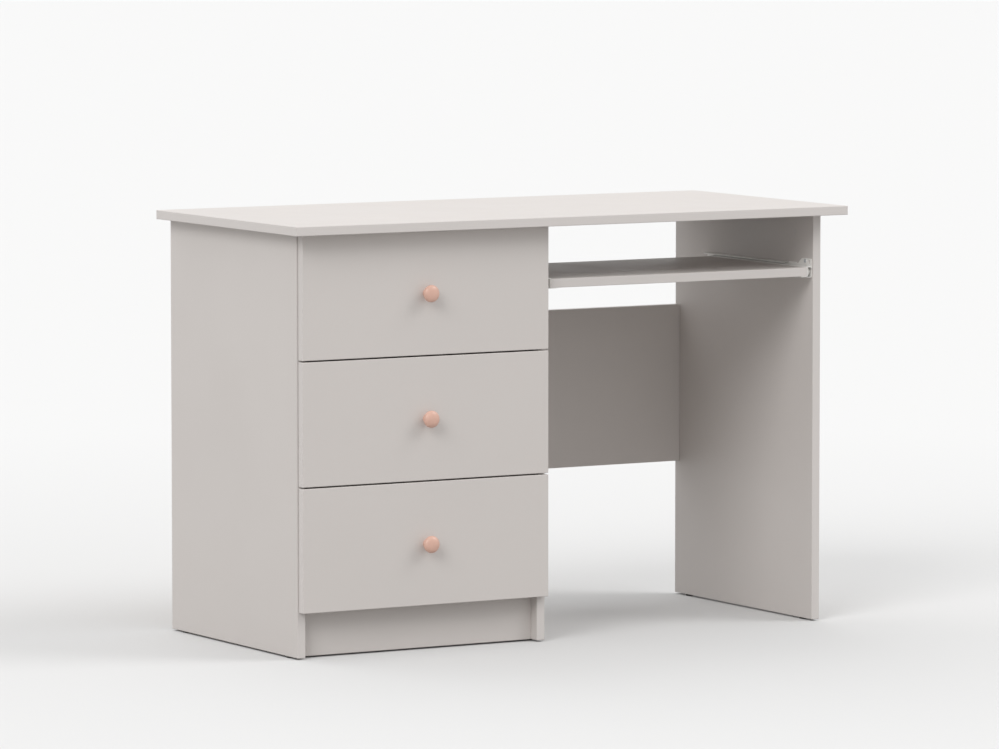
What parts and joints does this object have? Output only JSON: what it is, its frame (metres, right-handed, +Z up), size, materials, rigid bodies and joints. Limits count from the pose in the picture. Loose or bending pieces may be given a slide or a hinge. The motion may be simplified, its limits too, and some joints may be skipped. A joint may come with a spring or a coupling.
{
  "type": "writing desk",
  "caption": "Board writing desk with a pedestal of runner-mounted drawers at one end, a pull-out keyboard tray over an open knee space, and a modesty panel behind.",
  "frame": {"origin": "middle of the desk's footprint, on the floor (bottom centre of the bounding box)", "axes": "+X along the desk towards the open end, -Y the side where one sits and the drawers open, +Z up"},
  "size_m": [1.12, 0.52, 0.75],
  "materials": {
    "carcass_melamine": "matt melamine on 16 mm chipboard, light warm grey",
    "drawer_box_melamine": "matt melamine on 12 mm chipboard, off-white",
    "white_hardboard": "lacquered 3 mm hardboard",
    "painted_knob": "satin paint, dusty salmon pink, on turned wood",
    "coated_runner_steel": "cream epoxy powder coat",
    "white_nylon": "moulded white nylon",
    "zinc_steel": "bright zinc-plated steel",
    "zinc_alloy": "die-cast zinc alloy",
    "glide_plastic": "dark moulded plastic on a steel nail",
    "bumper_plastic": "soft clear-white plastic",
    "cover_plastic": "moulded plastic in the board's colour",
    "beech_dowel": "fluted beech"
  },
  "bodies": {
    "desk": {"desk_top": "carcass_melamine", "left_side_panel": "carcass_melamine", "partition_panel": "carcass_melamine", "right_side_panel": "carcass_melamine", "modesty_panel": "carcass_melamine", "pedestal_floor": "carcass_melamine", "plinth_panel": "carcass_melamine", "pedestal_back": "white_hardboard", "floor_glides": "glide_plastic", "drawer_bumpers": "bumper_plastic", "cam_locks": "zinc_alloy", "cam_bolts": "zinc_steel", "cam_covers": "cover_plastic", "dowels": "beech_dowel", "back_nails": "zinc_steel", "rail_screws": "zinc_steel", "bottom_drawer_rails": "coated_runner_steel", "middle_drawer_rails": "coated_runner_steel", "top_drawer_rails": "coated_runner_steel", "tray_rails": "coated_runner_steel"},
    "bottom_drawer": {"bottom_drawer_front": "carcass_melamine", "bottom_drawer_left_side": "drawer_box_melamine", "bottom_drawer_right_side": "drawer_box_melamine", "bottom_drawer_back": "drawer_box_melamine", "bottom_drawer_bottom": "white_hardboard", "bottom_drawer_knob": "painted_knob", "bottom_drawer_slide_left": "coated_runner_steel", "bottom_drawer_slide_right": "coated_runner_steel", "bottom_drawer_fittings": "zinc_steel"},
    "middle_drawer": {"middle_drawer_front": "carcass_melamine", "middle_drawer_left_side": "drawer_box_melamine", "middle_drawer_right_side": "drawer_box_melamine", "middle_drawer_back": "drawer_box_melamine", "middle_drawer_bottom": "white_hardboard", "middle_drawer_knob": "painted_knob", "middle_drawer_slide_left": "coated_runner_steel", "middle_drawer_slide_right": "coated_runner_steel", "middle_drawer_fittings": "zinc_steel"},
    "top_drawer": {"top_drawer_front": "carcass_melamine", "top_drawer_left_side": "drawer_box_melamine", "top_drawer_right_side": "drawer_box_melamine", "top_drawer_back": "drawer_box_melamine", "top_drawer_bottom": "white_hardboard", "top_drawer_knob": "painted_knob", "top_drawer_slide_left": "coated_runner_steel", "top_drawer_slide_right": "coated_runner_steel", "top_drawer_fittings": "zinc_steel"},
    "keyboard_tray": {"keyboard_tray": "carcass_melamine", "tray_slide_left": "coated_runner_steel", "tray_slide_right": "coated_runner_steel", "tray_screws": "zinc_steel"},
    "bottom_drawer_front_rollers": {"bottom_drawer_front_rollers": "white_nylon"},
    "bottom_drawer_rear_rollers": {"bottom_drawer_rear_rollers": "white_nylon"},
    "middle_drawer_front_rollers": {"middle_drawer_front_rollers": "white_nylon"},
    "middle_drawer_rear_rollers": {"middle_drawer_rear_rollers": "white_nylon"},
    "top_drawer_front_rollers": {"top_drawer_front_rollers": "white_nylon"},
    "top_drawer_rear_rollers": {"top_drawer_rear_rollers": "white_nylon"},
    "tray_front_rollers": {"tray_front_rollers": "white_nylon"},
    "tray_rear_rollers": {"tray_rear_rollers": "white_nylon"}
  },
  "joints": [
    {"name": "bottom_drawer_slide", "type": "slide", "parent": "desk", "child": "bottom_drawer", "axis": [0, -1, 0], "range_m": [0, 0.35]},
    {"name": "bottom_drawer_front_rollers_spin", "type": "hinge", "parent": "desk", "child": "bottom_drawer_front_rollers", "pos_m": [-0.287, -0.198, 0.116], "axis": [1, 0, 0], "range_deg": [0, 2508]},
    {"name": "bottom_drawer_rear_rollers_spin", "type": "hinge", "parent": "bottom_drawer", "child": "bottom_drawer_rear_rollers", "pos_m": [-0.287, 0.226, 0.115], "axis": [1, 0, 0], "range_deg": [0, 2508]},
    {"name": "middle_drawer_slide", "type": "slide", "parent": "desk", "child": "middle_drawer", "axis": [0, -1, 0], "range_m": [0, 0.35]},
    {"name": "middle_drawer_front_rollers_spin", "type": "hinge", "parent": "desk", "child": "middle_drawer_front_rollers", "pos_m": [-0.287, -0.198, 0.3337], "axis": [1, 0, 0], "range_deg": [0, 2508]},
    {"name": "middle_drawer_rear_rollers_spin", "type": "hinge", "parent": "middle_drawer", "child": "middle_drawer_rear_rollers", "pos_m": [-0.287, 0.226, 0.3327], "axis": [1, 0, 0], "range_deg": [0, 2508]},
    {"name": "top_drawer_slide", "type": "slide", "parent": "desk", "child": "top_drawer", "axis": [0, -1, 0], "range_m": [0, 0.35]},
    {"name": "top_drawer_front_rollers_spin", "type": "hinge", "parent": "desk", "child": "top_drawer_front_rollers", "pos_m": [-0.287, -0.198, 0.5514], "axis": [1, 0, 0], "range_deg": [0, 2508]},
    {"name": "top_drawer_rear_rollers_spin", "type": "hinge", "parent": "top_drawer", "child": "top_drawer_rear_rollers", "pos_m": [-0.287, 0.226, 0.5504], "axis": [1, 0, 0], "range_deg": [0, 2508]},
    {"name": "tray_slide", "type": "slide", "parent": "desk", "child": "keyboard_tray", "axis": [0, -1, 0], "range_m": [0, 0.25]},
    {"name": "tray_front_rollers_spin", "type": "hinge", "parent": "desk", "child": "tray_front_rollers", "pos_m": [0.239, -0.198, 0.6304], "axis": [1, 0, 0], "range_deg": [0, 1793]},
    {"name": "tray_rear_rollers_spin", "type": "hinge", "parent": "keyboard_tray", "child": "tray_rear_rollers", "pos_m": [0.239, 0.107, 0.6294], "axis": [1, 0, 0], "range_deg": [0, 1793]}
  ],
  "couplings": [
    {"joint": "bottom_drawer_front_rollers_spin", "follows": "bottom_drawer_slide", "rad_per_m": 125},
    {"joint": "bottom_drawer_rear_rollers_spin", "follows": "bottom_drawer_slide", "rad_per_m": 125},
    {"joint": "middle_drawer_front_rollers_spin", "follows": "middle_drawer_slide", "rad_per_m": 125},
    {"joint": "middle_drawer_rear_rollers_spin", "follows": "middle_drawer_slide", "rad_per_m": 125},
    {"joint": "top_drawer_front_rollers_spin", "follows": "top_drawer_slide", "rad_per_m": 125},
    {"joint": "top_drawer_rear_rollers_spin", "follows": "top_drawer_slide", "rad_per_m": 125},
    {"joint": "tray_front_rollers_spin", "follows": "tray_slide", "rad_per_m": 125},
    {"joint": "tray_rear_rollers_spin", "follows": "tray_slide", "rad_per_m": 125}
  ]
}
